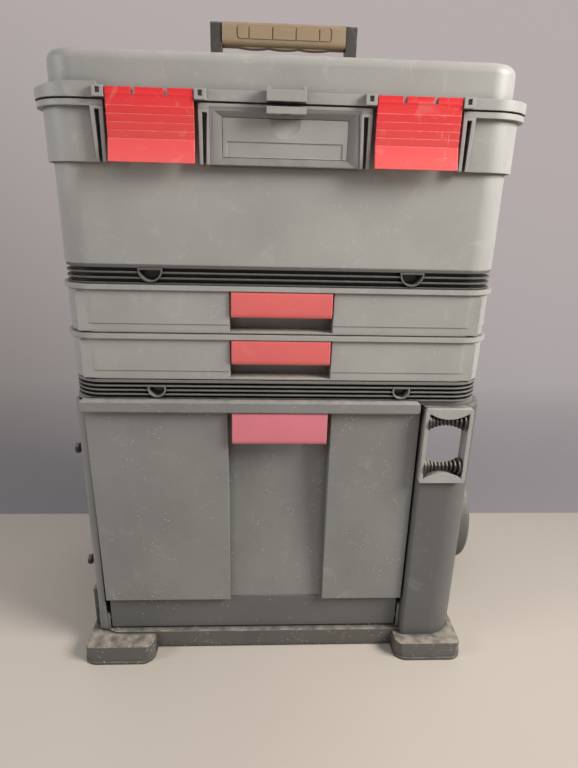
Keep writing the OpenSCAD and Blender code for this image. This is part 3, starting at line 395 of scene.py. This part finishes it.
# edges that turn by less belong to a curve
SHARP = math.radians(28)
# faces that turn by less are one flat face
FLAT = math.radians(0.5)
# points closer than this are one point
MERGE = 1e-6
SEGMENTS = 2
# two lines this much in step (a cosine) run on into each other
IN_STEP = 0.8
# part of the room beside an edge that its rounding may take
ROOM_TAKEN = 0.42

# the pieces whose edges have room to be rounded in the mesh, and by how many millimetres
EDGE = {
    "bin_pull": 1.0, "lower_drawer_pull": 1.0, "upper_drawer_pull": 1.0, "front_plate": 0.4,
    "middle_shell": 0.8, "handle_ends": 0.7, "cord_pegs": 1.5, "axle_beam": 1.0,
    "left_tyre": 0.8, "right_tyre": 0.8, "tube_clamps": 0.4, "tube_collars": 0.8,
    "drawer_runners": 0.6,
}


def line_length(edge, vertex, reach):
    """Length of the line that leaves a vertex along an edge, through gentle turns, up to reach."""
    total, at, current = edge.calc_length(), edge.other_vert(vertex), edge
    while total < reach:
        heading = (at.co - current.other_vert(at).co).normalized()
        onward = [e for e in at.link_edges if e is not current
                  and (e.other_vert(at).co - at.co).normalized().dot(heading) > IN_STEP]
        if not onward:
            break
        current = onward[0]
        total += current.calc_length()
        at = current.other_vert(at)
    return min(total, reach)


def room_beside(edge, reach):
    """How far the faces beside an edge run on from its ends, up to reach."""
    along = (edge.verts[1].co - edge.verts[0].co).normalized()
    room = reach
    for v in edge.verts:
        for other in v.link_edges:
            if other is edge:
                continue
            turn = (other.other_vert(v).co - v.co).normalized()
            if abs(turn.dot(along)) < IN_STEP:
                room = min(room, line_length(other, v, reach))
    return room


def soft_mesh(node, width):
    """The CAD node's mesh, its sharp edges weighted for a rounding of width metres, or marked."""
    mesh = bpy.data.meshes.new(node + "_piece")
    bm = bmesh.new()
    bm.from_mesh(frame["nodes"][node].data)
    bmesh.ops.remove_doubles(bm, verts=bm.verts, dist=MERGE)
    if width:
        bmesh.ops.dissolve_limit(bm, angle_limit=FLAT, verts=bm.verts, edges=bm.edges)
    weights = bm.edges.layers.float.new("bevel_weight_edge")
    for e in bm.edges:
        if not e.is_manifold or e.calc_face_angle(0) < SHARP:
            continue
        if width:
            e[weights] = min(1.0, ROOM_TAKEN * room_beside(e, 3 * width) / width)
        else:
            e.smooth = False
    bm.to_mesh(mesh)
    bm.free()
    for p in mesh.polygons:
        p.use_smooth = True
    return mesh


def soften(node, width):
    """Replace a CAD node by a piece like it, smooth over its curves, with soft edges."""
    source = frame["nodes"][node]
    mesh = soft_mesh(node, width)
    piece = bpy.data.objects.new(node + "_piece", mesh)
    bpy.context.scene.collection.objects.link(piece)
    if width:
        bevel = piece.modifiers.new("edges", "BEVEL")
        bevel.limit_method = "WEIGHT"
        bevel.width = width
        bevel.segments = SEGMENTS
        bevel.use_clamp_overlap = False
    normals = piece.modifiers.new("normals", "WEIGHTED_NORMAL")
    normals.keep_sharp = True
    slot = SLOTS[node]
    mesh.materials.append(FINISH.get(node, MATERIALS[slot]))
    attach(piece, source["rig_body"])
    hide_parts(node)


def dress():
    for node in frame["nodes"]:
        soften(node, EDGE.get(node, 0) * MM)


# ---- Camera ----

CAMERA_AT = (-0.04534, -0.81586, 0.6482)
# angles in radians: downwards, to the right, and the picture's tilt
PITCH, YAW, ROLL = 0.328113, 0.049528, 0.025139
SENSOR, LENS = 36.0, 25.3125


def camera():
    data = bpy.data.cameras.new("camera")
    data.sensor_width = SENSOR
    data.lens = LENS
    cam = bpy.data.objects.new("camera", data)
    bpy.context.scene.collection.objects.link(cam)
    sideways, forward = math.sin(YAW), math.cos(YAW)
    level = Vector((forward, -sideways, 0))
    ahead = Vector((sideways * math.cos(PITCH), forward * math.cos(PITCH), -math.sin(PITCH)))
    above = Vector((sideways * math.sin(PITCH), forward * math.sin(PITCH), math.cos(PITCH)))
    right = level * math.cos(ROLL) + above * math.sin(ROLL)
    up = above * math.cos(ROLL) - level * math.sin(ROLL)
    pose = Matrix((right, up, -ahead)).transposed().to_4x4()
    pose.translation = Vector(CAMERA_AT)
    cam.matrix_world = pose
    bpy.context.scene.camera = cam


# ---- Floor, backdrop and light ----

# where the floor ends at the wall, and where the wall starts and stops taking light as a floor
BACKDROP_Y = 0.20925
NEAR_Y, FAR_Y = BACKDROP_Y + 0.05, 1.1
# the floor gets painted shade from here on towards the wall, and between these places to the right
DIM_FROM_Y = -0.15
DIM_FROM_X, DIM_TO_X = 0.15, 0.9
DIM_BACK, DIM_RIGHT = 0.68, 0.58
# sizes of the floor's clouds and flecks, in millimetres
FLOOR_CLOUD, FLOOR_FLECK = 420, 3
FLOOR_ROUGH, FLOOR_SHEEN = 0.85, 0.2
# how far the planes of the studio reach, in metres
FLOOR_REACH, BACKDROP_REACH = 6, 9

FLOOR = rgb(189, 179, 168)
BACKDROP = rgb(140, 136, 138)
# the wall's painted light at the top, and its painted shade low down on the left and on the right
WALL_TOP = rgb(181, 172, 171)
WALL_LEFT = rgb(98, 94, 90)
WALL_RIGHT = rgb(138, 137, 141)
# slopes, up and sideways, between which the wall's painted light and shade change
WALL_HIGH, WALL_LOW = 0.37, -0.63
WALL_SIDE = 0.47

ROOM_COLOUR = rgb(236, 236, 240)
# strength of the room's light from the front and from behind the part
ROOM_FRONT, ROOM_BEHIND = 0.27, 1.15
LAMP_SIZE = 0.9


def painted_wall_light(g, towards):
    """The wall's painted light along a direction: pale at the top, with painted shade darkest low
    down on the left.
    """
    x, y, z = g.parts(towards)
    across = g.math("SQRT", g.math("ADD", g.times(x, x), g.times(y, y)))
    down = g.ramp(g.math("DIVIDE", z, across), WALL_HIGH, WALL_LOW)
    right = g.ramp(g.math("DIVIDE", x, across), -WALL_SIDE, WALL_SIDE)
    curve = g.math("POWER", down, g.ramp(right, 0.0, 1.0, 1.0, 3.0))
    return g.mix(curve, WALL_TOP, g.mix(right, WALL_LEFT, WALL_RIGHT))


def surface_plane(name, x, y, colour, patch, right_shade):
    """A level plane of the studio.

    patch is how uneven its colour is, and right_shade how much of the painted shade at the right it
    has.
    """
    mesh = bpy.data.meshes.new(name)
    corners = [(x[0], y[0], 0), (x[1], y[0], 0), (x[1], y[1], 0), (x[0], y[1], 0)]
    mesh.from_pydata(corners, [], [(0, 1, 2, 3)])
    plane = bpy.data.objects.new(name, mesh)
    bpy.context.scene.collection.objects.link(plane)
    s = Surface(name)
    cloud = s.ramp(s.noise(FLOOR_CLOUD, 2.0), 0.3, 0.7)
    fleck = s.ramp(s.noise(FLOOR_FLECK, 3.0), 0.35, 0.65)
    low = scaled(colour, 1 - patch)
    body = s.mix(cloud, low, scaled(colour, 1 + patch))
    body = s.mix(s.times(fleck, 0.15), body, low)
    across, back, _ = s.parts(s.place)
    # painted shade on the floor towards the wall and towards the right
    behind = s.ramp(back, DIM_FROM_Y, BACKDROP_Y, 0.0, 0.5)
    body = s.mix(behind, body, scaled(colour, DIM_BACK))
    right = s.ramp(across, DIM_FROM_X, DIM_TO_X, 0.0, right_shade)
    body = s.mix(right, body, scaled(colour, DIM_RIGHT))
    s.put(s.shader.inputs["Base Color"], body)
    s.shader.inputs["Roughness"].default_value = FLOOR_ROUGH
    s.shader.inputs["Specular IOR Level"].default_value = FLOOR_SHEEN
    mesh.materials.append(s.material)
    return s


def floor():
    wide, deep = (-FLOOR_REACH, FLOOR_REACH), (-FLOOR_REACH, BACKDROP_Y)
    surface_plane("floor", wide, deep, FLOOR, 0.03, 0.9)


def backdrop():
    """A surface behind the floor that the camera takes for the wall."""
    wide, deep = (-BACKDROP_REACH, BACKDROP_REACH), (BACKDROP_Y, BACKDROP_REACH)
    wall = surface_plane("backdrop", wide, deep, BACKDROP, 0.02, 0.2)
    lit = wall.shader.outputs[0]
    towards = wall.vector_math("SUBTRACT", wall.place, CAMERA_AT).outputs[0]
    # far from the part the camera sees the wall's painted light and shade, as a glow
    paint = wall.add("ShaderNodeEmission", Color=painted_wall_light(wall, towards)).outputs[0]
    # close to the part the surface is lit as the floor is, and keeps the part's shadow
    back = wall.ramp(wall.parts(wall.place)[1], NEAR_Y, FAR_Y)
    out = wall.camera_sees(lit, wall.mix_shaders(back, lit, paint))
    wall.put(wall.tree.nodes["Material Output"].inputs["Surface"], out)


def room():
    """The light of the room, and the wall's painted light and shade above the horizon."""
    world = bpy.data.worlds.new("studio")
    bpy.context.scene.world = world
    world.use_nodes = True
    sky = Graph(world.node_tree)
    fill = world.node_tree.nodes["Background"]
    fill.inputs["Color"].default_value = ROOM_COLOUR
    direction = sky.add("ShaderNodeTexCoord").outputs["Generated"]
    strength = sky.ramp(sky.parts(direction)[1], -0.1, 0.8, ROOM_FRONT, ROOM_BEHIND)
    sky.put(fill.inputs["Strength"], strength)
    seen = sky.add("ShaderNodeBackground", Color=painted_wall_light(sky, direction), Strength=1.0)
    out = sky.camera_sees(fill.outputs[0], seen.outputs[0])
    sky.put(world.node_tree.nodes["World Output"].inputs["Surface"], out)


def lamp(name, at, target, power, colour):
    """A round lamp that points at a target."""
    light = bpy.data.lights.new(name, "AREA")
    light.shape = "DISK"
    light.size = LAMP_SIZE
    light.energy = power
    light.color = colour
    obj = bpy.data.objects.new(name, light)
    bpy.context.scene.collection.objects.link(obj)
    obj.location = at
    obj.rotation_euler = (Vector(target) - Vector(at)).to_track_quat("-Z", "Y").to_euler()


dress()
floor()
backdrop()
room()
lamp("key", (1.5, -0.8, 1.45), (0.05, 0, 0.45), 53, (1.0, 0.98, 0.95))
lamp("fill", (-1.7, -0.8, 1.2), (0, 0, 0.4), 13, (0.98, 0.98, 1.0))
camera()
bpy.context.scene.view_settings.view_transform = "Standard"
